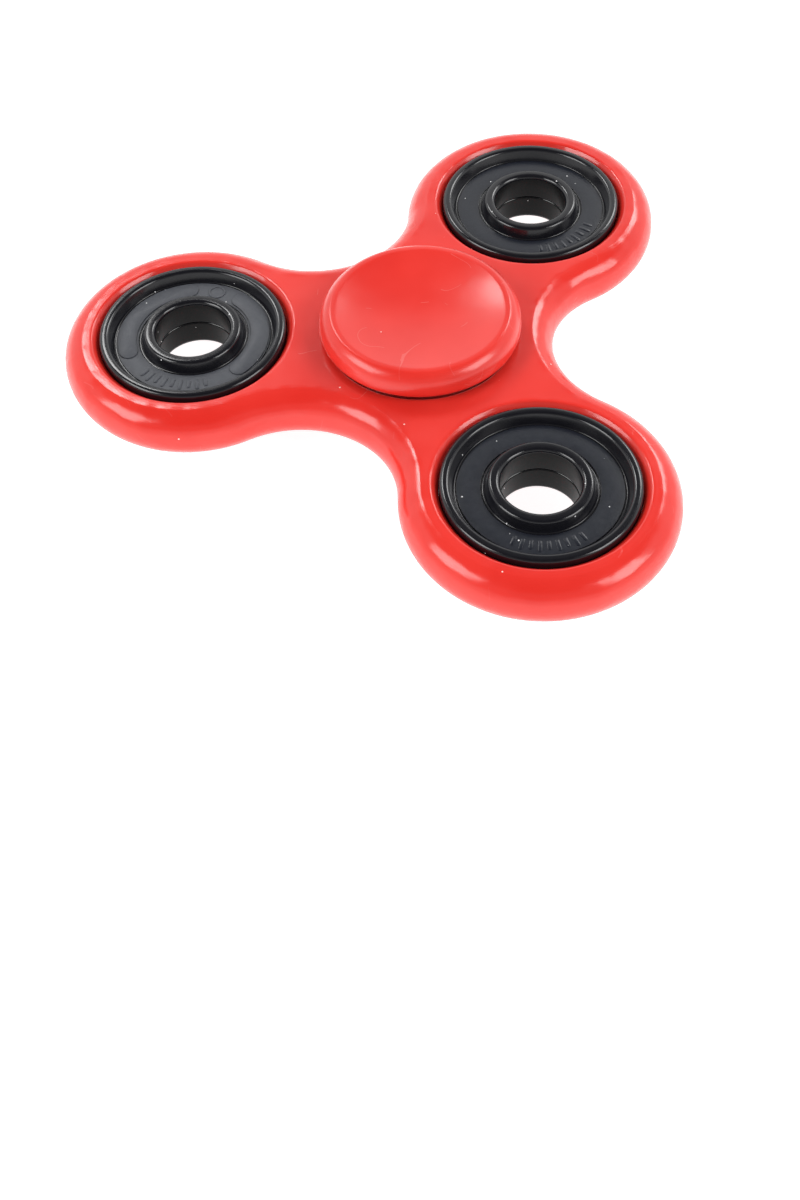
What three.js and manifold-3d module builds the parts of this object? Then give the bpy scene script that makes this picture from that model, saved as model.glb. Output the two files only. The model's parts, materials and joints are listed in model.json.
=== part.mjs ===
import * as THREE from 'three';
import { mergeVertices } from 'three/addons/utils/BufferGeometryUtils.js';
import Module from 'manifold-3d';

// Three-armed fidget spinner, in millimetres. The origin is on the spin axis,
// halfway through the centre bearing. +Z is the spin axis, and the whole
// spinner is the same seen from above and from below.

// Frame: three round lobes joined by hollow waists, with a fully rounded edge.
const ARM_RADIUS = 26.8;          // spin axis to the centre of each lobe
const ARM_ANGLES = [60, 180, 300];
const ARM_HALF_STEP = 60;         // degrees from an arm to the waist beside it
const LOBE_RADIUS = 15.5;
const WAIST_RADIUS = 11.4;
const FRAME_THICKNESS = 6.2;
const EDGE_INSET = 2.55;          // width of the rounding, seen from above
const EDGE_LAND = 0.2;            // straight part of the edge at mid-height
const LIP_WIDTH = 0.8;            // sloping lip round each pocket
const LIP_DEPTH = 0.9;
const CUTTER_OVERRUN = 1;         // how far a cutter runs past the face

// Pockets are moulded to the outside size of a 608 ball bearing.
const BEARING_BORE = 8;
const BEARING_OUTSIDE = 22;
const BEARING_WIDTH = 7;
const PRESS_GAP = 0.05;           // radial gap drawn at every press fit

// Balls and races of the centre bearing.
const BALL_COUNT = 7;
const BALL_DIAMETER = 3.969;
const PITCH_DIAMETER = 15;
const GROOVE_RADIUS = 2.06;
const RACE_GAP = 0.12;            // play drawn between a ball and each groove
const INNER_LAND_RADIUS = 6.05;
const OUTER_LAND_RADIUS = 9.05;
const RACE_CHAMFER = 0.3;
const SHIELD_SEAT_RADIUS = 9.6;
const SHIELD_SEAT_DEPTH = 0.8;
const SHIELD_THICKNESS = 0.3;
const SHIELD_BORE_RADIUS = 6.35;
const CAGE_INNER_RADIUS = 6.8;
const CAGE_OUTER_RADIUS = 8.2;
const CAGE_THICKNESS = 0.4;
const CAGE_POCKET_GAP = 0.1;
const SPLIT_GAP = 0.02;           // each half stays this far from its split plane

// Arm weights: a steel ring inside two moulded half shells.
const WEIGHT_HEIGHT = 6.5;
const WEIGHT_BORE_RADIUS = 4.4;
const SHELL_WALL = 0.8;
const PLATE_DEPTH = 1.25;         // face plate below the rim
const PLATE_INNER_RADIUS = 6.4;
const PLATE_OUTER_RADIUS = 9.15;
const RIM_CREST_RADIUS = 10.3;
const RIM_SHOULDER_DEPTH = 0.5;   // the rim rolls over to its crest from here
const RIM_SHOULDER_INSET = 0.25;
const RIM_SHOULDER_RISE = 0.4;
const HUB_CREST_RADIUS = 5.1;
const CREST_SLOPE_WIDTH = 0.4;    // start of the slope from each crest to the plate
const CREST_SLOPE_DEPTH = 0.2;
const BORE_ROUNDING = 0.35;
const RING_GAP = 0.15;

// Finger caps: a dished button with a post through the bearing's bore.
const CAP_RADIUS = 11.75;
const CAP_TOP = 6.6;              // height of the cap's rim above the origin
const CAP_BOTTOM = 3.9;
const CAP_SHOULDER = 4.3;         // height of the cap's widest point
const SKIRT_BULGE = [11.7, 6.0];  // radius and height that the skirt's curve leans towards
const LAND_INNER_RADIUS = 9.7;    // flat ring on the rim, which the spinner lies on
const LAND_OUTER_RADIUS = 10.3;
const DISH_DEPTH = 1.3;
const CAP_ROOF = 4.1;             // underside of the cap, over the bearing
const BOSS_RADIUS = 5.6;          // boss that clamps the inner race
const POST_RADIUS = 3.93;
const SOCKET_RADIUS = 2.45;
const PIN_RADIUS = 2.4;
const POST_END = -2.8;
const PIN_END = 2.6;
const PIN_FOOT_DEPTH = 0.4;       // the pin's foot centres in the bearing's bore
const SKIRT_INSET = 0.25;         // draw-in at the cap's lower edge

// Facet counts.
const LOBE_SEGMENTS = 16;
const WAIST_SEGMENTS = 7;
const EDGE_SEGMENTS = 3;
const POCKET_SEGMENTS = 36;
const RACE_SEGMENTS = 36;
const ROUND_SEGMENTS = 24;
const ARC_SEGMENTS = 4;
const BALL_SEGMENTS = [12, 8];
const CAGE_DOME_SEGMENTS = [10, 8];
const WELD_DISTANCE = 1e-4;       // vertices closer than this are one

const frameHalf = FRAME_THICKNESS / 2;
const bearingHalf = BEARING_WIDTH / 2;
const weightHalf = WEIGHT_HEIGHT / 2;
const ballRadius = BALL_DIAMETER / 2;
const pitchRadius = PITCH_DIAMETER / 2;
const outerRadius = BEARING_OUTSIDE / 2;
const boreRadius = BEARING_BORE / 2;
const pocketRadius = outerRadius + PRESS_GAP;

const wasm = await Module();
wasm.setup();

function radians(degrees) {
  return THREE.MathUtils.degToRad(degrees);
}

function material(color, roughness, metalness) {
  return () => new THREE.MeshStandardMaterial({ color, roughness, metalness });
}

const redPlastic = material(0xf84e47, 0.25, 0);
const blackPlastic = material(0x2e2c2d, 0.45, 0);
const bearingSteel = material(0xb9bcc0, 0.25, 1);
const cageSteel = material(0xa7a49c, 0.4, 1);
const weightSteel = material(0x8d8f92, 0.5, 1);

// A solid of revolution about Z, from [radius, height] points that run
// upward on the outside and downward on the inside.
function turned(profile, segments = ROUND_SEGMENTS) {
  const points = profile.map(([r, z]) => new THREE.Vector2(r, z));
  if (profile.every(([r]) => r > 0)) points.push(points[0].clone());
  return new THREE.LatheGeometry(points, segments).rotateX(Math.PI / 2);
}

// Points on an arc, from one angle to another in degrees.
function arc(centreR, centreZ, radius, from, to, steps = ARC_SEGMENTS) {
  return Array.from({ length: steps + 1 }, (_, i) => {
    const angle = radians(from + ((to - from) * i) / steps);
    return [centreR + radius * Math.cos(angle), centreZ + radius * Math.sin(angle)];
  });
}

// The same profile turned upside down, still running the same way round.
function flipped(profile) {
  return profile.map(([r, z]) => [r, -z]).reverse();
}

function toManifold(geometry) {
  const bare = geometry.clone();
  bare.deleteAttribute('normal');
  bare.deleteAttribute('uv');
  const welded = mergeVertices(bare, WELD_DISTANCE);
  return new wasm.Manifold(new wasm.Mesh({
    numProp: 3,
    vertProperties: new Float32Array(welded.attributes.position.array),
    triVerts: new Uint32Array(welded.index.array),
  }));
}

function fromManifold(solid) {
  const { vertProperties, triVerts } = solid.getMesh();
  const geometry = new THREE.BufferGeometry();
  geometry.setAttribute('position', new THREE.BufferAttribute(vertProperties, 3));
  geometry.setIndex(new THREE.BufferAttribute(triVerts, 1));
  geometry.computeVertexNormals();
  return geometry;
}

function mesh(name, geometry, makeMaterial) {
  const part = new THREE.Mesh(geometry, makeMaterial());
  part.name = name;
  return part;
}

// ---- frame ----

// The outline, inset evenly: each arm's lobe, then the waist that follows it.
function frameOutline(inset) {
  const lobe = LOBE_RADIUS - inset;
  const waist = WAIST_RADIUS + inset;
  const side = ARM_RADIUS * Math.sin(radians(ARM_HALF_STEP));
  const reach = Math.sqrt((lobe + waist) ** 2 - side ** 2);
  const waistCentre = ARM_RADIUS / 2 + reach;
  const lean = Math.atan2(side, reach);
  return ARM_ANGLES.flatMap((degrees) => {
    const arm = radians(degrees);
    const gap = radians(degrees + ARM_HALF_STEP);
    const halfLobe = radians(ARM_HALF_STEP) + lean;
    const lobeArc = new THREE.EllipseCurve(
      ARM_RADIUS * Math.cos(arm),
      ARM_RADIUS * Math.sin(arm),
      lobe, lobe, arm - halfLobe, arm + halfLobe,
    );
    const waistArc = new THREE.EllipseCurve(
      waistCentre * Math.cos(gap),
      waistCentre * Math.sin(gap),
      waist, waist, gap + Math.PI + lean, gap + Math.PI - lean, true,
    );
    return [
      ...lobeArc.getPoints(LOBE_SEGMENTS).slice(0, -1),
      ...waistArc.getPoints(WAIST_SEGMENTS).slice(0, -1),
    ];
  });
}

function framePlate() {
  const shape = new THREE.Shape(frameOutline(EDGE_INSET));
  const plate = new THREE.ExtrudeGeometry(shape, {
    depth: EDGE_LAND,
    bevelThickness: frameHalf - EDGE_LAND / 2,
    bevelSize: EDGE_INSET,
    bevelSegments: EDGE_SEGMENTS,
  });
  return plate.translate(0, 0, -EDGE_LAND / 2);
}

// The cutter for one pocket, with the sloping lip at both faces.
function pocketCutter(x, y) {
  const above = frameHalf + CUTTER_OVERRUN;
  const lip = pocketRadius + LIP_WIDTH;
  const upper = [
    [pocketRadius, frameHalf - LIP_DEPTH],
    [lip, frameHalf],
    [lip, above],
    [0, above],
  ];
  return turned([...flipped(upper), ...upper], POCKET_SEGMENTS).translate(x, y, 0);
}

function makeFrame() {
  let solid = toManifold(framePlate()).subtract(toManifold(pocketCutter(0, 0)));
  for (const degrees of ARM_ANGLES) {
    const x = ARM_RADIUS * Math.cos(radians(degrees));
    const y = ARM_RADIUS * Math.sin(radians(degrees));
    solid = solid.subtract(toManifold(pocketCutter(x, y)));
  }
  return mesh('frame', fromManifold(solid), redPlastic);
}

// ---- arm weights ----

// Upper half of the moulded shell: rim, recessed plate and bored hub, all
// hollow from below.
function weightShellProfile() {
  const plate = weightHalf - PLATE_DEPTH;
  return [
    [outerRadius, SPLIT_GAP],
    [outerRadius, weightHalf - RIM_SHOULDER_DEPTH],
    [outerRadius - RIM_SHOULDER_INSET, weightHalf - RIM_SHOULDER_DEPTH + RIM_SHOULDER_RISE],
    [RIM_CREST_RADIUS, weightHalf],
    [RIM_CREST_RADIUS - CREST_SLOPE_WIDTH, weightHalf - CREST_SLOPE_DEPTH],
    [PLATE_OUTER_RADIUS, plate],
    [PLATE_INNER_RADIUS, plate],
    [HUB_CREST_RADIUS + CREST_SLOPE_WIDTH, weightHalf - CREST_SLOPE_DEPTH],
    [HUB_CREST_RADIUS, weightHalf],
    [WEIGHT_BORE_RADIUS, weightHalf - BORE_ROUNDING],
    [WEIGHT_BORE_RADIUS, SPLIT_GAP],
    [WEIGHT_BORE_RADIUS + SHELL_WALL, SPLIT_GAP],
    [WEIGHT_BORE_RADIUS + SHELL_WALL, plate - SHELL_WALL],
    [outerRadius - SHELL_WALL, plate - SHELL_WALL],
    [outerRadius - SHELL_WALL, SPLIT_GAP],
  ];
}

function weightRingProfile() {
  const inner = WEIGHT_BORE_RADIUS + SHELL_WALL + RING_GAP;
  const outer = outerRadius - SHELL_WALL - RING_GAP;
  const half = weightHalf - PLATE_DEPTH - SHELL_WALL - RING_GAP;
  return [[outer, -half], [outer, half], [inner, half], [inner, -half]];
}

// One weight, centred on its own axis.
function makeWeight(number) {
  const weight = new THREE.Group();
  const shell = weightShellProfile();
  const name = `weight_${number}`;
  weight.add(
    mesh(`${name}_upper_shell`, turned(shell), blackPlastic),
    mesh(`${name}_lower_shell`, turned(flipped(shell)), blackPlastic),
    mesh(`${name}_steel_ring`, turned(weightRingProfile()), weightSteel),
  );
  return weight;
}

// Weights 1, 2 and 3 stand at the ends of the arms, in the order of ARM_ANGLES.
function makeWeights() {
  return ARM_ANGLES.map((degrees, index) => {
    const weight = makeWeight(index + 1);
    weight.position.set(
      ARM_RADIUS * Math.cos(radians(degrees)),
      ARM_RADIUS * Math.sin(radians(degrees)),
      0,
    );
    weight.rotation.z = radians(degrees);
    return weight;
  });
}

// ---- centre bearing ----

function outerRaceProfile() {
  const centre = pitchRadius + ballRadius + RACE_GAP - GROOVE_RADIUS;
  const reach = THREE.MathUtils.radToDeg(Math.acos((OUTER_LAND_RADIUS - centre) / GROOVE_RADIUS));
  const seat = bearingHalf - SHIELD_SEAT_DEPTH;
  const upper = [
    [outerRadius, bearingHalf - RACE_CHAMFER],
    [outerRadius - RACE_CHAMFER, bearingHalf],
    [SHIELD_SEAT_RADIUS, bearingHalf],
    [SHIELD_SEAT_RADIUS, seat],
    [OUTER_LAND_RADIUS, seat],
  ];
  return [...upper, ...arc(centre, 0, GROOVE_RADIUS, reach, -reach), ...flipped(upper)];
}

function innerRaceProfile() {
  const centre = pitchRadius - ballRadius - RACE_GAP + GROOVE_RADIUS;
  const reach = THREE.MathUtils.radToDeg(Math.acos((centre - INNER_LAND_RADIUS) / GROOVE_RADIUS));
  const upper = [
    [INNER_LAND_RADIUS, bearingHalf],
    [boreRadius + RACE_CHAMFER, bearingHalf],
    [boreRadius, bearingHalf - RACE_CHAMFER],
  ];
  const groove = arc(centre, 0, GROOVE_RADIUS, 180 + reach, 180 - reach);
  return [...groove, ...upper, ...flipped(upper)];
}

function makeRaces() {
  return [
    mesh('bearing_outer_race', turned(outerRaceProfile(), RACE_SEGMENTS), bearingSteel),
    mesh('bearing_inner_race', turned(innerRaceProfile(), RACE_SEGMENTS), bearingSteel),
  ];
}

function ballPlace(index) {
  const angle = (2 * Math.PI * index) / BALL_COUNT;
  return [pitchRadius * Math.cos(angle), pitchRadius * Math.sin(angle), 0];
}

function makeBalls() {
  return Array.from({ length: BALL_COUNT }, (_, index) => {
    const geometry = new THREE.SphereGeometry(ballRadius, ...BALL_SEGMENTS);
    const ball = mesh(`bearing_ball_${index + 1}`, geometry, bearingSteel);
    ball.position.set(...ballPlace(index));
    return ball;
  });
}

// Upper half of the ribbon cage: a flat ring that arches over every ball.
function cageHalf() {
  const bar = [
    [CAGE_OUTER_RADIUS, SPLIT_GAP],
    [CAGE_OUTER_RADIUS, CAGE_THICKNESS],
    [CAGE_INNER_RADIUS, CAGE_THICKNESS],
    [CAGE_INNER_RADIUS, SPLIT_GAP],
  ];
  const tall = bar.map(([r, z]) => [r, z > SPLIT_GAP ? bearingHalf : z]);
  const hollow = ballRadius + CAGE_POCKET_GAP;
  let ribbon = toManifold(turned(bar));
  for (let index = 0; index < BALL_COUNT; index += 1) {
    const dome = new THREE.SphereGeometry(hollow + CAGE_THICKNESS, ...CAGE_DOME_SEGMENTS);
    ribbon = ribbon.add(toManifold(dome.translate(...ballPlace(index))));
  }
  ribbon = ribbon.intersect(toManifold(turned(tall)));
  for (let index = 0; index < BALL_COUNT; index += 1) {
    const pocket = new THREE.SphereGeometry(hollow, ...CAGE_DOME_SEGMENTS);
    ribbon = ribbon.subtract(toManifold(pocket.translate(...ballPlace(index))));
  }
  return fromManifold(ribbon);
}

function makeCage() {
  const upper = mesh('bearing_cage_upper', cageHalf(), cageSteel);
  const lower = mesh('bearing_cage_lower', cageHalf(), cageSteel);
  lower.rotation.x = Math.PI;
  return [upper, lower];
}

function makeShields() {
  const outer = SHIELD_SEAT_RADIUS - PRESS_GAP;
  const low = bearingHalf - SHIELD_SEAT_DEPTH + PRESS_GAP;
  const high = low + SHIELD_THICKNESS;
  const profile = [[outer, low], [outer, high], [SHIELD_BORE_RADIUS, high], [SHIELD_BORE_RADIUS, low]];
  return [
    mesh('bearing_shield_upper', turned(profile), cageSteel),
    mesh('bearing_shield_lower', turned(flipped(profile)), cageSteel),
  ];
}

// ---- finger caps ----

// Everything of a cap outside its post, from the boss round to the dish.
function capShell() {
  const dishRadius = (LAND_INNER_RADIUS ** 2 + DISH_DEPTH ** 2) / (2 * DISH_DEPTH);
  const dishReach = THREE.MathUtils.radToDeg(Math.asin(LAND_INNER_RADIUS / dishRadius));
  const skirt = new THREE.QuadraticBezierCurve(
    new THREE.Vector2(CAP_RADIUS, CAP_SHOULDER),
    new THREE.Vector2(...SKIRT_BULGE),
    new THREE.Vector2(LAND_OUTER_RADIUS, CAP_TOP),
  );
  return [
    [BOSS_RADIUS, bearingHalf + SPLIT_GAP],
    [BOSS_RADIUS, CAP_ROOF],
    [outerRadius, CAP_ROOF],
    [outerRadius, CAP_BOTTOM],
    [CAP_RADIUS - SKIRT_INSET, CAP_BOTTOM],
    ...skirt.getPoints(ARC_SEGMENTS).map(({ x, y }) => [x, y]),
    ...arc(0, CAP_TOP - DISH_DEPTH + dishRadius, dishRadius, 270 + dishReach, 270).slice(0, -1),
    [0, CAP_TOP - DISH_DEPTH],
  ];
}

// The top cap carries a hollow post and the bottom cap a pin that fills it.
function makeCaps() {
  const hollowPost = [
    [0, CAP_ROOF],
    [SOCKET_RADIUS, CAP_ROOF],
    [SOCKET_RADIUS, POST_END],
    [POST_RADIUS, POST_END],
    [POST_RADIUS, bearingHalf + SPLIT_GAP],
  ];
  const pin = [
    [0, -PIN_END],
    [PIN_RADIUS, -PIN_END],
    [PIN_RADIUS, bearingHalf - PIN_FOOT_DEPTH],
    [POST_RADIUS, bearingHalf - PIN_FOOT_DEPTH],
    [POST_RADIUS, bearingHalf + SPLIT_GAP],
  ];
  return [
    mesh('top_finger_cap', turned([...hollowPost, ...capShell()]), redPlastic),
    mesh('bottom_finger_cap', turned(flipped([...pin, ...capShell()])), redPlastic),
  ];
}

const spinner = new THREE.Group();
spinner.name = 'fidget_spinner';
spinner.add(makeFrame(), ...makeWeights());
spinner.add(...makeRaces(), ...makeBalls(), ...makeCage(), ...makeShields());
spinner.add(...makeCaps());
spinner.updateMatrixWorld(true);

export default spinner;
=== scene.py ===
import json
from math import acos, asin, atan2, cos, degrees, hypot, pi, radians, sin, sqrt

import bpy
from mathutils import Euler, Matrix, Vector
from mathutils.geometry import delaunay_2d_cdt

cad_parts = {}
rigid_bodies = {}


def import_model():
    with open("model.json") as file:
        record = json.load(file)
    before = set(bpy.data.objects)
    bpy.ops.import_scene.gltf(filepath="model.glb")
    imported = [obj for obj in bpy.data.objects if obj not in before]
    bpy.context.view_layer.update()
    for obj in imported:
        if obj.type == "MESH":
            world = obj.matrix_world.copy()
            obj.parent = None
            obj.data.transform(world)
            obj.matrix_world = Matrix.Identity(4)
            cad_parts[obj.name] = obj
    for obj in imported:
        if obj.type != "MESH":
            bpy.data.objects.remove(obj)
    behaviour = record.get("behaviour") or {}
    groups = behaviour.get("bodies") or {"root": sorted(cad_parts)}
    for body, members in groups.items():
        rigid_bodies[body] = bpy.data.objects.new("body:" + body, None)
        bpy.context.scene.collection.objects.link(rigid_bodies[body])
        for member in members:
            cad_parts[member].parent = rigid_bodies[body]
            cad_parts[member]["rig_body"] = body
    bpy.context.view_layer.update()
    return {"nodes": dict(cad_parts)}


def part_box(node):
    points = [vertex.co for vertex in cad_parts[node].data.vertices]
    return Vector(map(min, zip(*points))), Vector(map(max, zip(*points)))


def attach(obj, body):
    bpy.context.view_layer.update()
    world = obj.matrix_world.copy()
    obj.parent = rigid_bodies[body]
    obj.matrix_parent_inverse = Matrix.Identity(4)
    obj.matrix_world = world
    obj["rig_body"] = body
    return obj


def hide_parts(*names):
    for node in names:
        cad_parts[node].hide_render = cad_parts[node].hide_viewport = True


# A three-armed fidget spinner: moulded frame, three bored arm weights, a 608
# ball bearing and two finger caps. Lengths are in millimetres and are turned
# into metres as each mesh is made. It spins about Z. Angles are in degrees, save
# where they are turned into radians for a sine, a cosine or Blender.

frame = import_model()
MM = 0.001


def size(node):
    """A node's size along X, Y and Z."""
    low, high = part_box(node)
    return (high - low) / MM


def top(node):
    """The height of a node's highest point."""
    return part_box(node)[1].z / MM


# ---- sizes, from the frame and from the parts' own drawings ----

ARM_ANGLES = (60, 180, 300)
HALF_SPACING = 60                           # half the angle from one arm to the next
ARM_RADIUS = -sum(corner.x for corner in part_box("weight_2_steel_ring")) / 2 / MM    # weight 2 is on -X
FRAME_HALF = size("frame").z / 2
OUTER_RADIUS = size("bearing_outer_race").x / 2
BEARING_HALF = size("bearing_inner_race").z / 2
WEIGHT_HALF = top("weight_1_upper_shell")
CAP_TOP = top("top_finger_cap")
CAP_RADIUS = size("top_finger_cap").x / 2

LOBE_RADIUS = 15.5
WAIST_RADIUS = 11.4
EDGE_INSET = 2.55                           # from the outline to where the flat face starts
EDGE_CREASE = 0.9                           # radius of the soft crease between the edge and the face
EDGE_LAND = 0.5                             # width of flat face that belongs to the edge
PRESS_GAP = 0.05
POCKET_RADIUS = OUTER_RADIUS + PRESS_GAP
ARM_LIP = (0.8, 0.9)                        # width and depth of an arm pocket's rounded lip
CENTRE_LIP = (0.2, 0.2)                     # the centre pocket's, under the cap
LIP_LAND = 0.4
LIP_DRAFT = 0.04                            # how much wider the pocket is at the foot of its lip
LIP_RUN_OUT = 0.3                           # height over which that width dies away

WEIGHT_BORE_RADIUS = 4.4
SHELL_WALL = 0.8
RIM_INNER_RADIUS = 9.95
COLLAR_OUTER_RADIUS = 5.65
PLATE_DEPTH = 1.25                          # of the plate below the rim and the collar
PLATE_LEVEL = WEIGHT_HALF - PLATE_DEPTH
PLATE_GROOVE_DEPTH = 0.12                   # of the fine groove on each side of the plate
PLATE_INNER_RADIUS = 6.35
PLATE_OUTER_RADIUS = 9.15
RING_PLAY = 0.15                            # between a steel ring and the shells round it
SPLIT_GAP = 0.02                            # from the middle plane to each of two halves that meet there

ROOT = 0.05                                 # how far a mark is set into its plate
MARK_HEIGHT = 0.09
FAINT_MARK_HEIGHT = 0.045
BAR_STEP = 7                                # degrees from one bar to the next
BARS_EACH_SIDE = 4
BAR_INNER_RADIUS = 7.2
BAR_OUTER_RADII = (8.5, 8.75)               # of even and odd bars, by turns
BAR_WIDTH = 0.42
BAR_BEVEL = 0.6                             # as a share of the bar's height
PAD_HEIGHT = 0.12
PAD_BEVEL = 0.06
PAD_INNER_RADIUS = 6.75
PAD_OUTER_RADIUS = 8.95
PAD_SPANS = ((60, 152), (202, 302))         # from the row of bars
PAD_GAP_ANGLE = 177
RING_MARK_RADII = (0.8, 1.05)

BALL_COUNT = 7
BALL_RADIUS = 3.969 / 2
PITCH_RADIUS = 7.5
GROOVE_RADIUS = 2.06
RACE_GAP = 0.05
BEARING_BORE_RADIUS = 4.0
INNER_LAND_RADIUS = 6.05
OUTER_LAND_RADIUS = 9.05
SHIELD_SEAT_RADIUS = 9.6
SHIELD_LOW = BEARING_HALF - 0.75
SHIELD_THICKNESS = 0.25
SHIELD_STEP = 0.18                          # how far a shield's inner part stands above its edge
SHIELD_PLAY = 0.05
SHIELD_BORE_RADIUS = 6.35
CAGE_INNER_RADIUS = 6.8
CAGE_OUTER_RADIUS = 8.2
CAGE_THICKNESS = 0.4
CAGE_POCKET_GAP = 0.1

CAP_BOTTOM = 3.9
CAP_SHOULDER = 4.3                          # height of the skirt's lower edge, where the cap is widest
CAP_CREST_RADIUS = 10.2
SKIRT_BULGE = (11.7, 6.0)                   # control point of the skirt's curve
DISH_DEPTH = 1.3
CAP_ROOF = 4.1                              # of the hollow over the bearing
BOSS_RADIUS = 5.6
POST_RADIUS = 3.93
SOCKET_RADIUS = 2.45
PIN_RADIUS = 2.4
PIN_SHOULDER = BEARING_HALF - 0.4
POST_END = -2.8
PIN_END = 2.6

ROUND_STEPS = 160                           # segments round a turned piece, where nothing else is said
POCKET_STEPS = 128
STEEL_RING_STEPS = 96
BALL_STEPS = 40
RING_MARK_STEPS = 36


# ---- mesh helpers ----

FILLET_STEP = 11                            # degrees of turn for each segment of a fillet
FILLET_SHARE = 0.49                         # most of a side that one fillet may take
NO_LENGTH = 1e-6


def polar(radius, angle):
    return radius * cos(radians(angle)), radius * sin(radians(angle))


def arc(centre, radius, start, end, steps):
    """Points on an arc, from one angle to another."""
    return [
        (centre[0] + radius * cos(a), centre[1] + radius * sin(a))
        for a in (radians(start + (end - start) * i / steps) for i in range(steps + 1))
    ]


def curve(start, control, end, steps):
    """Points on a quadratic curve, both ends included."""
    points = []
    for i in range(steps + 1):
        t = i / steps
        weights = (1 - t) ** 2, 2 * t * (1 - t), t ** 2
        points.append(tuple(sum(w * p[k] for w, p in zip(weights, (start, control, end))) for k in (0, 1)))
    return points


def rounded(corners, closed=True):
    """A profile from (x, y, fillet radius) corners, each fillet drawn as an arc."""
    count = len(corners)
    points = []
    for i, (x, y, radius) in enumerate(corners):
        here = Vector((x, y))
        before = Vector(corners[i - 1][:2])
        after = Vector(corners[(i + 1) % count][:2])
        end = not closed and i in (0, count - 1)
        if radius <= 0 or end:
            points.append((x, y))
            continue
        a = (before - here).normalized()
        b = (after - here).normalized()
        half = a.angle(b) / 2
        turn = pi - 2 * half
        reach = radius / max(NO_LENGTH, abs(sin(half) / cos(half)))
        reach = min(reach, FILLET_SHARE * (before - here).length, FILLET_SHARE * (after - here).length)
        radius = reach * sin(half) / cos(half)
        centre = here + (a + b).normalized() * (radius / sin(half))
        start = here + a * reach - centre
        side = 1 if a.x * b.y - a.y * b.x < 0 else -1
        steps = max(2, int(degrees(turn) / FILLET_STEP))
        for k in range(steps + 1):
            angle = side * turn * k / steps
            points.append((
                centre.x + start.x * cos(angle) - start.y * sin(angle),
                centre.y + start.x * sin(angle) + start.y * cos(angle),
            ))
    return points


def flipped(profile):
    """The profile of the same shape turned upside down, still in the same sense of travel."""
    return [(r, -z) for r, z in reversed(profile)]


class Shell:
    """Vertices and faces of one piece, in millimetres, with a material's number for each face."""

    def __init__(self):
        self.points = []
        self.faces = []
        self.finish = []

    def loop(self, points):
        start = len(self.points)
        self.points.extend(points)
        return list(range(start, len(self.points)))

    def face(self, indices, finish=0):
        self.faces.append(tuple(indices))
        self.finish.append(finish)

    def bridge(self, low, high, finish=0):
        for i in range(len(low)):
            j = (i + 1) % len(low)
            self.face((low[i], low[j], high[j], high[i]), finish)

    def fan(self, loop, centre, finish):
        for i in range(len(loop)):
            self.face((loop[i], loop[(i + 1) % len(loop)], centre), finish)

    def revolve(self, profile, finish=lambda r, z: 0, centre=(0, 0), steps=ROUND_STEPS):
        """Turns a closed profile, or one with both ends on the axis, about Z."""
        rings = []
        for r, z in profile:
            if r < NO_LENGTH:
                rings.append(self.loop([(centre[0], centre[1], z)]))
                continue
            rings.append(self.loop([
                (centre[0] + r * cos(a), centre[1] + r * sin(a), z)
                for a in (2 * pi * i / steps for i in range(steps))
            ]))
        closed = all(len(ring) > 1 for ring in rings)
        for i in range(len(rings) if closed else len(rings) - 1):
            low, high = rings[i], rings[(i + 1) % len(rings)]
            (r0, z0), (r1, z1) = profile[i], profile[(i + 1) % len(rings)]
            kind = finish((r0 + r1) / 2, (z0 + z1) / 2)
            if len(low) == 1:
                self.fan(high[::-1], low[0], kind)
            elif len(high) == 1:
                self.fan(low, high[0], kind)
            else:
                self.bridge(low, high, kind)

    def relief(self, outline, low, high, bevel, finish):
        """A flat raised mark with a rounded edge. outline(inset) gives its plan, anticlockwise."""
        crown = bevel * 0.3
        levels = [(0, low), (0, high - bevel), (crown, high - crown), (bevel, high)]
        loops = [self.loop([(x, y, z) for x, y in outline(inset)]) for inset, z in levels]
        for below, above in zip(loops, loops[1:]):
            self.bridge(below, above, finish)
        self.face(loops[-1], finish)
        self.face(loops[0][::-1], finish)

    def mirrored(self):
        """The same piece turned over about the X axis."""
        other = Shell()
        other.points = [(x, -y, -z) for x, y, z in self.points]
        other.faces = list(self.faces)
        other.finish = list(self.finish)
        return other

    def placed(self, x, y, angle):
        """The same piece turned about Z, then moved."""
        other = Shell()
        c, s = cos(radians(angle)), sin(radians(angle))
        other.points = [(x + px * c - py * s, y + px * s + py * c, pz) for px, py, pz in self.points]
        other.faces = list(self.faces)
        other.finish = list(self.finish)
        return other

    def piece(self, name, node, materials, slot, sharp=40):
        """The Blender object that stands for a CAD node and rides on its body.

        Edges that turn by more than sharp degrees stay sharp in its smooth shading.
        """
        mesh = bpy.data.meshes.new(name)
        mesh.from_pydata([(x * MM, y * MM, z * MM) for x, y, z in self.points], [], self.faces)
        for material in materials:
            mesh.materials.append(material)
        mesh.polygons.foreach_set("material_index", self.finish)
        mesh.polygons.foreach_set("use_smooth", [True] * len(mesh.polygons))
        mesh.update()
        mesh.set_sharp_from_angle(angle=radians(sharp))
        mesh.validate()
        obj = bpy.data.objects.new(name, mesh)
        bpy.context.scene.collection.objects.link(obj)
        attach(obj, frame["nodes"][node]["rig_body"])
        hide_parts(node)


# ---- materials ----

RED_DEEP = (0.715, 0.026, 0.018)
RED_LIGHT = (0.775, 0.035, 0.025)
PALE_DUST = (0.95, 0.70, 0.66)              # on the red plastic, and the colour of its scratches
GREY_DUST = (0.8, 0.8, 0.8)                 # on the black plastic
DUST_DIAMETER = 0.18
PLASTIC_IOR = 1.5
PLASTIC_UNEVENNESS = 0.1                    # share by which the roughness varies
STEEL_UNEVENNESS = 0.3
NOISE_SLOPE = 0.6                           # how much a noise changes over one feature's size
NOISE_RANGE = (0.3, 0.7)                    # where nearly all of a noise's values lie


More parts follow.
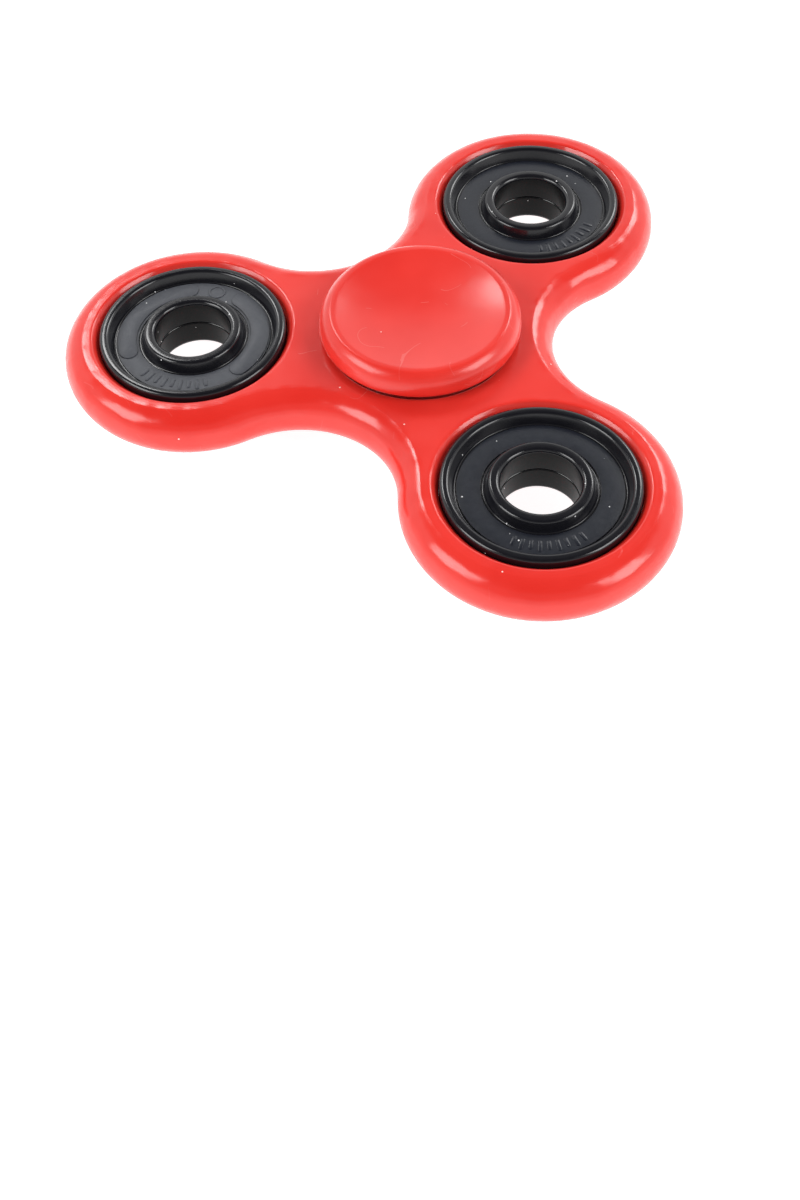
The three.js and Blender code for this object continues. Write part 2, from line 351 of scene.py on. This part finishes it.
class Nodes:
    """The node tree of a material or world, with one call for each kind of node it needs."""

    def __init__(self, owner, shader="Principled BSDF", place="Object"):
        owner.use_nodes = True
        self.owner = owner
        self.tree = owner.node_tree
        self.shader = self.tree.nodes[shader]
        self.place = self.add("ShaderNodeTexCoord").outputs[place]

    def add(self, kind, **settings):
        node = self.tree.nodes.new(kind)
        for key, value in settings.items():
            setattr(node, key, value)
        return node

    def link(self, source, target):
        self.tree.links.new(source, target)

    def noise(self, feature, detail=3.0):
        """Noise with features of about that many millimetres, its values mostly in NOISE_RANGE."""
        node = self.add("ShaderNodeTexNoise")
        self.link(self.place, node.inputs["Vector"])
        node.inputs["Scale"].default_value = 1 / (feature * MM)
        node.inputs["Detail"].default_value = detail
        return node.outputs["Fac"]

    def specks(self, spacing, diameter, share):
        """Sparse round specks: 1 inside a speck, 0 elsewhere."""
        cells = self.add("ShaderNodeTexVoronoi")
        self.link(self.place, cells.inputs["Vector"])
        cells.inputs["Scale"].default_value = 1 / (spacing * MM)
        split = self.add("ShaderNodeSeparateColor")
        self.link(cells.outputs["Color"], split.inputs["Color"])
        near = self.math("LESS_THAN", cells.outputs["Distance"], diameter / 2 / spacing)
        chosen = self.math("LESS_THAN", split.outputs["Red"], share)
        return self.math("MULTIPLY", near, chosen)

    def hairlines(self, feature, width, share):
        """Short wandering hairlines: 1 on a line, 0 elsewhere."""
        reach = width / 2 * NOISE_SLOPE / feature
        line = self.math("COMPARE", self.noise(feature, 0), 0.5, reach)
        kept = self.math("LESS_THAN", self.noise(feature / 2, 0), share)
        return self.math("MULTIPLY", line, kept)

    def uneven(self, roughness, share, feature, detail):
        """A roughness that varies by that share of itself, up and down."""
        noise = self.noise(feature, detail)
        return self.ramp(noise, roughness * (1 - share), roughness * (1 + share), *NOISE_RANGE)

    def ramp(self, source, low, high, start=0.0, end=1.0):
        """source mapped from [start, end] to [low, high]."""
        node = self.add("ShaderNodeMapRange")
        self.link(source, node.inputs["Value"])
        node.inputs["From Min"].default_value = start
        node.inputs["From Max"].default_value = end
        node.inputs["To Min"].default_value = low
        node.inputs["To Max"].default_value = high
        return node.outputs["Result"]

    def mix(self, factor, first, second):
        """A colour mix. first and second are colours or sockets."""
        node = self.add("ShaderNodeMix", data_type="RGBA")
        self.link(factor, node.inputs["Factor"])
        colour_inputs = [s for s in node.inputs if s.type == "RGBA"]
        for socket, value in zip(colour_inputs, (first, second)):
            if isinstance(value, tuple):
                socket.default_value = (*value, 1)
            else:
                self.link(value, socket)
        return next(s for s in node.outputs if s.type == "RGBA")

    def math(self, operation, *values):
        """Any Math node. values are numbers or sockets."""
        node = self.add("ShaderNodeMath", operation=operation)
        for socket, value in zip(node.inputs, values):
            if isinstance(value, bpy.types.NodeSocket):
                self.link(value, socket)
            else:
                socket.default_value = value
        return node.outputs[0]

    def bump(self, height, depth, normal=None):
        """Bumps of that depth in millimetres."""
        node = self.add("ShaderNodeBump")
        self.link(height, node.inputs["Height"])
        node.inputs["Strength"].default_value = 1.0
        node.inputs["Distance"].default_value = depth * MM
        if normal is not None:
            self.link(normal, node.inputs["Normal"])
        return node.outputs["Normal"]

    def set(self, **values):
        """Gives the shader's sockets numbers, colours or links. A space in a name is written _."""
        for key, value in values.items():
            socket = self.shader.inputs[key.replace("_", " ")]
            if isinstance(value, bpy.types.NodeSocket):
                self.link(value, socket)
            else:
                socket.default_value = value


def new_material(name):
    return Nodes(bpy.data.materials.new(name))


def red_plastic(name, roughness, ripple, scratches):
    """Glossy moulded plastic, with faint flow marks, an uneven polish, hairlines and dust.

    ripple is the depth of its slow waves in millimetres, and scratches is how much the
    hairlines show, from 0 to 1.
    """
    n = new_material(name)
    flow_marks = n.ramp(n.noise(9, detail=2), 0, 1, 0.35, 0.65)
    colour = n.mix(flow_marks, RED_DEEP, RED_LIGHT)
    hairs = n.ramp(n.hairlines(feature=5, width=0.08, share=0.38), 0, scratches)
    scratched = n.mix(hairs, colour, PALE_DUST)
    dust = n.specks(spacing=1.5, diameter=DUST_DIAMETER, share=0.08)
    waves = n.bump(n.noise(3.0, detail=1), ripple)
    grain = n.noise(0.12, detail=2)
    n.set(
        Base_Color=n.mix(dust, scratched, PALE_DUST),
        Roughness=n.uneven(roughness, PLASTIC_UNEVENNESS, feature=3.5, detail=4),
        IOR=PLASTIC_IOR,
        Normal=n.bump(grain, 0.0006, waves),
    )
    return n.owner


def black_plastic(name, dark, light, roughness, grain, depth, dust_share, gloss=0.5):
    """Black moulded plastic, with dust.

    grain and depth are the size and depth of its texture in millimetres, and gloss is its
    specular level.
    """
    n = new_material(name)
    colour = n.mix(n.noise(0.5), dark, light)
    dust = n.specks(spacing=1.2, diameter=DUST_DIAMETER, share=dust_share)
    n.set(
        Base_Color=n.mix(dust, colour, GREY_DUST),
        Roughness=n.uneven(roughness, PLASTIC_UNEVENNESS, feature=1.0, detail=4),
        IOR=PLASTIC_IOR,
        Specular_IOR_Level=gloss,
        Normal=n.bump(n.noise(grain), depth),
    )
    return n.owner


def steel(name, dark, light, roughness, depth):
    """Bare steel. depth is that of its finest marks in millimetres."""
    n = new_material(name)
    n.set(
        Base_Color=n.mix(n.noise(0.8), dark, light),
        Metallic=1.0,
        Roughness=n.uneven(roughness, STEEL_UNEVENNESS, feature=0.25, detail=3),
        Normal=n.bump(n.noise(0.15, detail=2), depth),
    )
    return n.owner


# ---- frame ----

LOBE_STEPS = 72
WAIST_STEPS = 32
EDGE_STEPS = 22
EDGE, WEB = 0, 1                            # material numbers


def frame_outline(inset):
    """The frame's outline, inset evenly: each arm's lobe, then the waist after it."""
    lobe = LOBE_RADIUS - inset
    waist = WAIST_RADIUS + inset
    side = ARM_RADIUS * sin(radians(HALF_SPACING))
    reach = sqrt((lobe + waist) ** 2 - side ** 2)
    waist_centre = ARM_RADIUS / 2 + reach
    lean = degrees(atan2(side, reach))
    points = []
    for angle in ARM_ANGLES:
        gap = angle + HALF_SPACING
        start, end = angle - HALF_SPACING - lean, gap + lean
        points += arc(polar(ARM_RADIUS, angle), lobe, start, end, LOBE_STEPS)[:-1]
        start, end = gap + 180 + lean, gap + 180 - lean
        points += arc(polar(waist_centre, gap), waist, start, end, WAIST_STEPS)[:-1]
    return points


def edge_profile():
    """(inset, height) points round the frame's edge, from the lower face to the upper."""
    radius = (EDGE_INSET ** 2 + FRAME_HALF ** 2) / (2 * EDGE_INSET)
    reach = degrees(asin(FRAME_HALF / radius))
    side = arc((radius, 0), radius, 180 - reach, 180 + reach, EDGE_STEPS)
    corners = [(x, y, 0) for x, y in side]
    corners[0] = (*side[0], EDGE_CREASE)
    corners[-1] = (*side[-1], EDGE_CREASE)
    land = EDGE_INSET + EDGE_LAND
    profile = rounded([(land, FRAME_HALF, 0), *corners, (land, -FRAME_HALF, 0)], closed=False)
    return profile[::-1]


def pocket_profile(lip_width, lip_depth):
    """(radius, height) points down a pocket, from the upper face to the lower."""
    crest = POCKET_RADIUS + lip_width
    foot = FRAME_HALF - lip_depth
    upper = rounded([
        (crest + LIP_LAND, FRAME_HALF, 0),
        (crest, FRAME_HALF, 0.45),
        (POCKET_RADIUS + LIP_DRAFT, foot, 0.15),
        (POCKET_RADIUS, foot - LIP_RUN_OUT, 0),
    ], closed=False)
    return upper + flipped(upper)


def make_frame(reds):
    shell = Shell()
    edge = [shell.loop([(x, y, z) for x, y in frame_outline(inset)]) for inset, z in edge_profile()]
    for low, high in zip(edge, edge[1:]):
        shell.bridge(low, high, EDGE)
    rims = []
    pockets = [((0, 0), CENTRE_LIP)] + [(polar(ARM_RADIUS, a), ARM_LIP) for a in ARM_ANGLES]
    for centre, lip in pockets:
        rings = [
            shell.loop([(x, y, z) for x, y in arc(centre, r, 0, 360, POCKET_STEPS)[:-1]])
            for r, z in pocket_profile(*lip)
        ]
        for upper, lower in zip(rings, rings[1:]):
            shell.bridge(upper, lower, EDGE)
        rims.append(rings)
    fill_face(shell, edge[-1], [rings[0] for rings in rims], up=True)
    fill_face(shell, edge[0], [rings[-1] for rings in rims], up=False)
    shell.piece("frame_moulding", "frame", reds, "red_plastic", sharp=50)


INSIDE_ONLY = 1                             # delaunay_2d_cdt's choice of triangles to give back
SAME_POINT = 1e-7


def fill_face(shell, boundary, holes, up):
    """Triangles between the frame's edge and its four pockets, on one flat face."""
    indices, owner, edges = [], [], []
    for number, loop in enumerate([boundary, *holes]):
        start = len(indices)
        indices += loop
        owner += [number] * len(loop)
        edges += [(start + i, start + (i + 1) % len(loop)) for i in range(len(loop))]
    flat = [Vector(shell.points[i][:2]) for i in indices]
    _, _, triangles, origin, _, _ = delaunay_2d_cdt(flat, edges, [], INSIDE_ONLY, SAME_POINT)
    source = [group[0] for group in origin]
    for triangle in triangles:
        corners = [source[v] for v in triangle]
        loops = {owner[c] for c in corners}
        if len(loops) == 1 and loops != {0}:
            continue                    # all three corners on one pocket: inside the hole
        a, b, c = (flat[i] for i in corners)
        if ((b - a).cross(c - a) > 0) != up:
            corners.reverse()
        shell.face([indices[i] for i in corners], WEB)


# ---- arm weights ----

RIM, PLATE, BORE = 0, 1, 2                  # material numbers
BORE_EDGE = 0.8                             # depth of the bore's mouth that is as glossy as the rim; deeper down, the bore has painted shade: darker and duller
ON_SURFACE = 0.05                           # how near a face is to the surface that it belongs to


def weight_finish(r, z):
    if PLATE_INNER_RADIUS < r < PLATE_OUTER_RADIUS and abs(z - PLATE_LEVEL) < ON_SURFACE:
        return PLATE
    # Deeper than the glossy mouth, the bore takes the bore plastic: painted shade, darker and duller than
    # the rim.
    if r < WEIGHT_BORE_RADIUS + ON_SURFACE and z < WEIGHT_HALF - BORE_EDGE:
        return BORE
    return RIM


def weight_profile():
    """The upper half shell: rounded rim, recessed plate, collar and bore."""
    inner_wall = WEIGHT_BORE_RADIUS + SHELL_WALL
    outer_wall = OUTER_RADIUS - SHELL_WALL
    roof = PLATE_LEVEL - SHELL_WALL
    groove = PLATE_LEVEL - PLATE_GROOVE_DEPTH
    rim_foot = RIM_INNER_RADIUS - 0.6
    collar_foot = COLLAR_OUTER_RADIUS + 0.55
    return rounded([
        (OUTER_RADIUS, SPLIT_GAP, 0.08),
        (OUTER_RADIUS, WEIGHT_HALF, 0.5),
        (RIM_INNER_RADIUS, WEIGHT_HALF, 0.45),
        (rim_foot, groove, 0.35),
        (PLATE_OUTER_RADIUS, groove, 0.03),
        (PLATE_OUTER_RADIUS - 0.05, PLATE_LEVEL, 0.05),
        (PLATE_INNER_RADIUS + 0.15, PLATE_LEVEL, 0.05),
        (PLATE_INNER_RADIUS + 0.07, groove, 0.05),
        (collar_foot, groove, 0.35),
        (COLLAR_OUTER_RADIUS, WEIGHT_HALF, 0.45),
        (WEIGHT_BORE_RADIUS, WEIGHT_HALF, 0.5),
        (WEIGHT_BORE_RADIUS, SPLIT_GAP, 0.22),
        (inner_wall, SPLIT_GAP, 0.05),
        (inner_wall, roof, 0.2),
        (outer_wall, roof, 0.2),
        (outer_wall, SPLIT_GAP, 0.05),
    ])


def bar_outline(angle, inner, outer, width):
    """A radial bar with round ends."""
    def edge(inset):
        half = width / 2 - inset
        near, far = polar(inner + width / 2, angle), polar(outer - width / 2, angle)
        far_end = arc(far, half, angle - 90, angle + 90, 6)
        near_end = arc(near, half, angle + 90, angle + 270, 6)
        return far_end + near_end
    return edge


def pad_outline(start, end, inner, outer):
    """A pad bent round the collar, from one angle to another, with round ends."""
    middle = (inner + outer) / 2

    def edge(inset):
        half = (outer - inner) / 2 - inset
        steps = int((end - start) / 4)
        far = arc(polar(middle, end), half, end, end + 180, 12)[1:-1]
        near = arc(polar(middle, start), half, start + 180, start + 360, 12)[1:-1]
        outside = arc((0, 0), middle + half, start, end, steps)
        inside = arc((0, 0), middle - half, end, start, steps)
        return outside + far + inside + near
    return edge


def add_bars(shell, height):
    """A short row of plain raised bars on the plate, round local angle 0."""
    for index in range(-BARS_EACH_SIDE, BARS_EACH_SIDE + 1):
        bar = bar_outline(BAR_STEP * index, BAR_INNER_RADIUS, BAR_OUTER_RADII[index % 2], BAR_WIDTH)
        shell.relief(bar, PLATE_LEVEL - ROOT, PLATE_LEVEL + height, height * BAR_BEVEL, PLATE)


def plain_face():
    """One face of a weight, with nothing on its plate but a faint row of bars."""
    shell = Shell()
    shell.revolve(weight_profile(), weight_finish)
    add_bars(shell, FAINT_MARK_HEIGHT)
    return shell


def padded_face():
    """The other face of a weight: two long pads round the collar, and a plain ring between them."""
    shell = Shell()
    shell.revolve(weight_profile(), weight_finish)
    for start, end in PAD_SPANS:
        pad = pad_outline(start, end, PAD_INNER_RADIUS, PAD_OUTER_RADIUS)
        shell.relief(pad, PLATE_LEVEL - ROOT, PLATE_LEVEL + PAD_HEIGHT, PAD_BEVEL, PLATE)
    low, high = PLATE_LEVEL - ROOT, PLATE_LEVEL + MARK_HEIGHT
    inner, outer = RING_MARK_RADII
    ring = rounded([(outer, low, 0), (outer, high, 0.05), (inner, high, 0.05), (inner, low, 0)])
    place = polar((PLATE_INNER_RADIUS + PLATE_OUTER_RADIUS) / 2, PAD_GAP_ANGLE)
    shell.revolve(ring, lambda r, z: PLATE, place, RING_MARK_STEPS)
    add_bars(shell, MARK_HEIGHT)
    return shell


def ring_profile():
    """The steel ring that fills the space inside a weight's two shells."""
    inner = WEIGHT_BORE_RADIUS + SHELL_WALL + RING_PLAY
    outer = OUTER_RADIUS - SHELL_WALL - RING_PLAY
    half = PLATE_LEVEL - SHELL_WALL - RING_PLAY
    corner = 0.15
    return rounded([
        (outer, -half, corner), (outer, half, corner),
        (inner, half, corner), (inner, -half, corner),
    ])


# How far each weight is turned, in degrees, and whether its padded face was pressed in facing up.
WEIGHT_TURN = {1: -54, 2: -102, 3: -85}
PADS_UP = {1: False, 2: True, 3: False}


def make_weights(blacks, metal):
    for number, angle in enumerate(ARM_ANGLES, start=1):
        x, y = polar(ARM_RADIUS, angle)
        turn = WEIGHT_TURN[number]
        faces = [(plain_face(), blacks["plain"]), (padded_face(), blacks["padded"])]
        if PADS_UP[number]:
            faces.reverse()
        for half, (face, plate) in zip(("upper", "lower"), faces):
            shell = face if half == "upper" else face.mirrored()
            node = f"weight_{number}_{half}_shell"
            materials = [blacks["gloss"], plate, blacks["bore"]]
            shell.placed(x, y, turn).piece(f"{node}_moulding", node, materials, "black_plastic")
        ring = Shell()
        ring.revolve(ring_profile(), steps=STEEL_RING_STEPS)
        node = f"weight_{number}_steel_ring"
        ring.placed(x, y, turn).piece(f"{node}_turned", node, [metal], "weight_steel")


# ---- centre bearing ----

GROOVE_STEPS = 16


def outer_race_profile():
    """Down the shield seat, land and ball groove, and up the outside."""
    centre = PITCH_RADIUS + BALL_RADIUS + RACE_GAP - GROOVE_RADIUS
    reach = degrees(acos((OUTER_LAND_RADIUS - centre) / GROOVE_RADIUS))
    seat = SHIELD_LOW - SHIELD_PLAY
    upper = rounded([
        (OUTER_RADIUS, 0, 0),
        (OUTER_RADIUS, BEARING_HALF, 0.3),
        (SHIELD_SEAT_RADIUS, BEARING_HALF, 0.1),
        (SHIELD_SEAT_RADIUS, seat, 0.05),
        (OUTER_LAND_RADIUS, seat, 0.05),
        (OUTER_LAND_RADIUS, GROOVE_RADIUS * sin(radians(reach)), 0),
    ], closed=False)[1:-1]
    return upper + arc((centre, 0), GROOVE_RADIUS, reach, -reach, GROOVE_STEPS) + flipped(upper)


def inner_race_profile():
    """Up the ball groove and land, and down the bore."""
    centre = PITCH_RADIUS - BALL_RADIUS - RACE_GAP + GROOVE_RADIUS
    reach = degrees(acos((centre - INNER_LAND_RADIUS) / GROOVE_RADIUS))
    upper = rounded([
        (INNER_LAND_RADIUS, GROOVE_RADIUS * sin(radians(reach)), 0),
        (INNER_LAND_RADIUS, BEARING_HALF, 0.12),
        (BEARING_BORE_RADIUS, BEARING_HALF, 0.3),
        (BEARING_BORE_RADIUS, 0, 0),
    ], closed=False)[1:-1]
    groove = arc((centre, 0), GROOVE_RADIUS, 180 + reach, 180 - reach, GROOVE_STEPS)
    return groove + upper + flipped(upper)


def make_races(metal):
    for name, profile in (("outer", outer_race_profile()), ("inner", inner_race_profile())):
        shell = Shell()
        shell.revolve(profile)
        node = f"bearing_{name}_race"
        shell.piece(f"{node}_ground", node, [metal], "bearing_steel", sharp=30)


def ball_places():
    return [polar(PITCH_RADIUS, 360 * i / BALL_COUNT) for i in range(BALL_COUNT)]


def make_balls(metal):
    meridian = arc((0, 0), BALL_RADIUS, -90, 90, BALL_STEPS // 2)
    meridian[0], meridian[-1] = (0, -BALL_RADIUS), (0, BALL_RADIUS)
    for number, place in enumerate(ball_places(), start=1):
        shell = Shell()
        shell.revolve(meridian, centre=place, steps=BALL_STEPS)
        node = f"bearing_ball_{number}"
        shell.piece(f"{node}_polished", node, [metal], "bearing_steel")


def cage_half():
    """Upper half of the ribbon cage: a thin ring, pressed up over each ball."""
    around, across = 420, 8                 # quads round the ring, and over its width
    hollow = BALL_RADIUS + CAGE_POCKET_GAP
    places = ball_places()

    def dome(x, y, radius):
        """Height of the nearest ball's dome, or 0 beside it."""
        nearest = min(hypot(x - bx, y - by) for bx, by in places)
        return sqrt(max(0, radius ** 2 - nearest ** 2))

    shell = Shell()
    under, over = [], []
    for k in range(across + 1):
        r = CAGE_INNER_RADIUS + (CAGE_OUTER_RADIUS - CAGE_INNER_RADIUS) * k / across
        plan = arc((0, 0), r, 0, 360, around)[:-1]
        under.append(shell.loop([(x, y, max(SPLIT_GAP, dome(x, y, hollow))) for x, y in plan]))
        over.append(shell.loop([
            (x, y, max(CAGE_THICKNESS, dome(x, y, hollow + CAGE_THICKNESS))) for x, y in plan
        ]))
    for k in range(across):
        shell.bridge(under[k], under[k + 1])
        shell.bridge(over[k + 1], over[k])
    shell.bridge(under[-1], over[-1])
    shell.bridge(over[0], under[0])
    return shell


def make_cage(metal):
    upper = cage_half()
    upper.piece("bearing_cage_upper_pressing", "bearing_cage_upper", [metal], "pressed_steel")
    lower = upper.mirrored()
    lower.piece("bearing_cage_lower_pressing", "bearing_cage_lower", [metal], "pressed_steel")


def make_shields(metal):
    """Shields with a pressed step between the crimped edge and the bore."""
    outer = SHIELD_SEAT_RADIUS - SHIELD_PLAY
    inner = SHIELD_BORE_RADIUS
    under = SHIELD_LOW
    over = SHIELD_LOW + SHIELD_THICKNESS
    profile = rounded([
        (outer, under, 0.05), (outer, over, 0.08),
        (8.9, over, 0.15), (8.6, over + SHIELD_STEP, 0.15),
        (inner, over + SHIELD_STEP, 0.08), (inner, under + SHIELD_STEP, 0.05),
        (8.5, under + SHIELD_STEP, 0.1), (8.8, under, 0.1),
    ])
    for half, points in (("upper", profile), ("lower", flipped(profile))):
        shell = Shell()
        shell.revolve(points)
        node = f"bearing_shield_{half}"
        shell.piece(f"{node}_pressing", node, [metal], "pressed_steel")


# ---- finger caps ----

CREST_OUTER = CAP_CREST_RADIUS + 0.2        # where the skirt's curve meets the crest
CREST_INNER = CAP_CREST_RADIUS - 0.35       # where the dish meets it
DISH_FINISH_RADIUS = CAP_CREST_RADIUS - 0.4
DISH_FINISH_LOW = CAP_SHOULDER + 0.1        # below every point of the dish, above all of the underside
SKIRT, DISH = 0, 1                          # material numbers


def cap_shell():
    """Corners of a cap outside its post: underside, shoulder, crest and dish."""
    dish = (CREST_INNER ** 2 + DISH_DEPTH ** 2) / (2 * DISH_DEPTH)
    reach = degrees(asin(CREST_INNER / dish))
    skirt = curve((CAP_RADIUS, CAP_SHOULDER), SKIRT_BULGE, (CREST_OUTER, CAP_TOP), 14)
    hollow = arc((0, CAP_TOP - DISH_DEPTH + dish), dish, 270 + reach, 270, 24)
    return [
        (BOSS_RADIUS, BEARING_HALF + SPLIT_GAP, 0.1),
        (BOSS_RADIUS, CAP_ROOF, 0.2),
        (OUTER_RADIUS, CAP_ROOF, 0.15),
        (OUTER_RADIUS, CAP_BOTTOM, 0.06),
        (CAP_RADIUS - 0.08, CAP_BOTTOM, 0.1),
        (CAP_RADIUS, CAP_SHOULDER, 0.2),
        *[(r, z, 0) for r, z in skirt[1:-1]],
        (*skirt[-1], 0.4),
        (*hollow[0], 0.7),
        *[(r, z, 0) for r, z in hollow[1:-1]],
        (0, CAP_TOP - DISH_DEPTH, 0),
    ]


def cap_finish(r, z):
    return DISH if r < DISH_FINISH_RADIUS and abs(z) > DISH_FINISH_LOW else SKIRT


def make_caps(reds):
    hollow_post = [
        (0, CAP_ROOF, 0), (SOCKET_RADIUS, CAP_ROOF, 0.2), (SOCKET_RADIUS, POST_END, 0.2),
        (POST_RADIUS, POST_END, 0.35), (POST_RADIUS, BEARING_HALF + SPLIT_GAP, 0.05),
    ]
    pin = [
        (0, -PIN_END, 0), (PIN_RADIUS, -PIN_END, 0.4), (PIN_RADIUS, PIN_SHOULDER, 0.05),
        (POST_RADIUS, PIN_SHOULDER, 0.1), (POST_RADIUS, BEARING_HALF + SPLIT_GAP, 0.05),
    ]
    for name, post in (("top", hollow_post), ("bottom", pin)):
        profile = rounded(post + cap_shell(), closed=False)
        if name == "bottom":
            profile = flipped(profile)
        shell = Shell()
        shell.revolve(profile, cap_finish)
        node = f"{name}_finger_cap"
        shell.piece(f"{node}_moulding", node, reds, "red_plastic", sharp=50)


# ---- studio ----

CAMERA_PLACE = (4.11, -124.35, 121.78)      # millimetres
CAMERA_TURN = (35.745, 1.481, 1.576)        # about X, Y and Z
CAMERA_LENS = 43.37                         # millimetres
CAMERA_SENSOR = 36                          # millimetres, along the picture's long side
BOX_DISTANCE = 0.9                          # metres, from the spinner to each soft box
FLOOR_HALF = 1.5                            # metres
FLOOR_GLOW = 0.9


def make_camera():
    data = bpy.data.cameras.new("camera")
    data.lens = CAMERA_LENS
    data.sensor_width = CAMERA_SENSOR
    data.clip_start = 0.01
    data.clip_end = 20
    camera = bpy.data.objects.new("camera", data)
    camera.location = Vector(CAMERA_PLACE) * MM
    camera.rotation_euler = Euler([radians(a) for a in CAMERA_TURN])
    bpy.context.scene.collection.objects.link(camera)
    bpy.context.scene.camera = camera


def make_floor():
    """A white sweep that glows a little, as a lit paper sweep does, so shadows on it stay faint."""
    n = new_material("floor_white")
    n.set(
        Base_Color=n.mix(n.noise(60, detail=2), (0.68, 0.68, 0.68), (0.72, 0.72, 0.72)),
        Roughness=0.9,
        Emission_Color=(1, 1, 1, 1),
        Emission_Strength=FLOOR_GLOW,
    )
    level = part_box("bottom_finger_cap")[0].z
    half = FLOOR_HALF
    mesh = bpy.data.meshes.new("floor")
    mesh.from_pydata(
        [(-half, -half, level), (half, -half, level), (half, half, level), (-half, half, level)],
        [], [(0, 1, 2, 3)],
    )
    mesh.materials.append(n.owner)
    floor = bpy.data.objects.new("floor", mesh)
    bpy.context.scene.collection.objects.link(floor)


def soft_box(name, azimuth, elevation, width, height, radiance):
    """A soft box that faces the spinner, sized in metres. Azimuth 0 is behind it and 90 to its left."""
    data = bpy.data.lights.new(name, "AREA")
    data.shape = "RECTANGLE"
    data.size, data.size_y = width, height
    data.energy = radiance * pi * width * height
    light = bpy.data.objects.new(name, data)
    a, e = radians(azimuth), radians(elevation)
    away = Vector((-sin(a) * cos(e), cos(a) * cos(e), sin(e)))
    light.location = away * BOX_DISTANCE
    light.rotation_euler = away.to_track_quat("Z", "Y").to_euler()
    bpy.context.scene.collection.objects.link(light)


def make_world():
    """A pale tent: bright at the horizon and behind, dimmer overhead and on the near side."""
    world = bpy.data.worlds.new("studio")
    bpy.context.scene.world = world
    n = Nodes(world, "Background", "Generated")
    direction = n.add("ShaderNodeSeparateXYZ")
    n.link(n.place, direction.inputs[0])
    height = direction.outputs["Z"]
    below_roof = n.ramp(height, 1.15, 0.15, 0.60, 0.75)
    at_horizon = n.ramp(height, 1.0, 0.0, 0.20, 0.40)
    behind = n.ramp(direction.outputs["Y"], 0.3, 1.0, -0.3, 0.4)
    spread = n.math("MAXIMUM", at_horizon, behind)
    n.set(Strength=n.math("MULTIPLY", below_roof, spread), Color=(1, 1, 1, 1))


def make_lights():
    bpy.context.scene.view_settings.view_transform = "Standard"
    make_world()
    soft_box("left_box", 112, 38, 0.50, 0.42, 6.5)
    soft_box("right_box", -110, 36, 0.46, 0.42, 6.5)
    soft_box("back_left_box", 30, 45, 0.20, 0.18, 12.0)
    soft_box("back_right_box", -34, 37, 0.30, 0.24, 8.0)


# ---- the whole scene ----

frame_reds = [
    red_plastic("red_edge", 0.19, ripple=0.14, scratches=0.03),
    red_plastic("red_web", 0.235, ripple=0.02, scratches=0.07),
]
cap_reds = [
    red_plastic("red_skirt", 0.245, ripple=0.03, scratches=0.04),
    red_plastic("red_dish", 0.245, ripple=0.02, scratches=0.08),
]
blacks = {
    "gloss": black_plastic(
        "black_gloss", (0.005, 0.005, 0.007), (0.009, 0.009, 0.012), 0.16, grain=0.9, depth=0.004,
        dust_share=0.15,
    ),
    "plain": black_plastic(
        "black_plain", (0.008, 0.010, 0.016), (0.014, 0.017, 0.026), 0.31, grain=0.2, depth=0.006,
        dust_share=0.4,
    ),
    # The padded face's plate is a lighter blue-grey than the plain one: partly the tone of its own matt
    # grain, partly a painted sheen for the light reflected off it.
    "padded": black_plastic(
        "black_padded_painted_sheen", (0.058, 0.062, 0.073), (0.082, 0.087, 0.099), 0.48, grain=0.15, depth=0.014,
        dust_share=0.4, gloss=0.4,
    ),
    # Painted shade: the bore's plastic is darker and reflects less (low specular level) than the rim,
    # standing in for the shade inside the bore.
    "bore": black_plastic(
        "black_bore_painted_shade", (0.004, 0.004, 0.004), (0.008, 0.008, 0.008), 0.34, grain=0.3, depth=0.006,
        dust_share=0.15, gloss=0.18,
    ),
}
ground_steel = steel("ground_steel", (0.52, 0.53, 0.55), (0.62, 0.63, 0.65), 0.18, 0.0008)
pressed_steel = steel("pressed_steel", (0.42, 0.41, 0.39), (0.52, 0.51, 0.49), 0.32, 0.0015)
turned_steel = steel("turned_steel", (0.30, 0.30, 0.31), (0.40, 0.40, 0.41), 0.40, 0.003)

make_camera()
make_lights()
make_floor()
make_frame(frame_reds)
make_weights(blacks, turned_steel)
make_races(ground_steel)
make_balls(ground_steel)
make_cage(pressed_steel)
make_shields(pressed_steel)
make_caps(cap_reds)
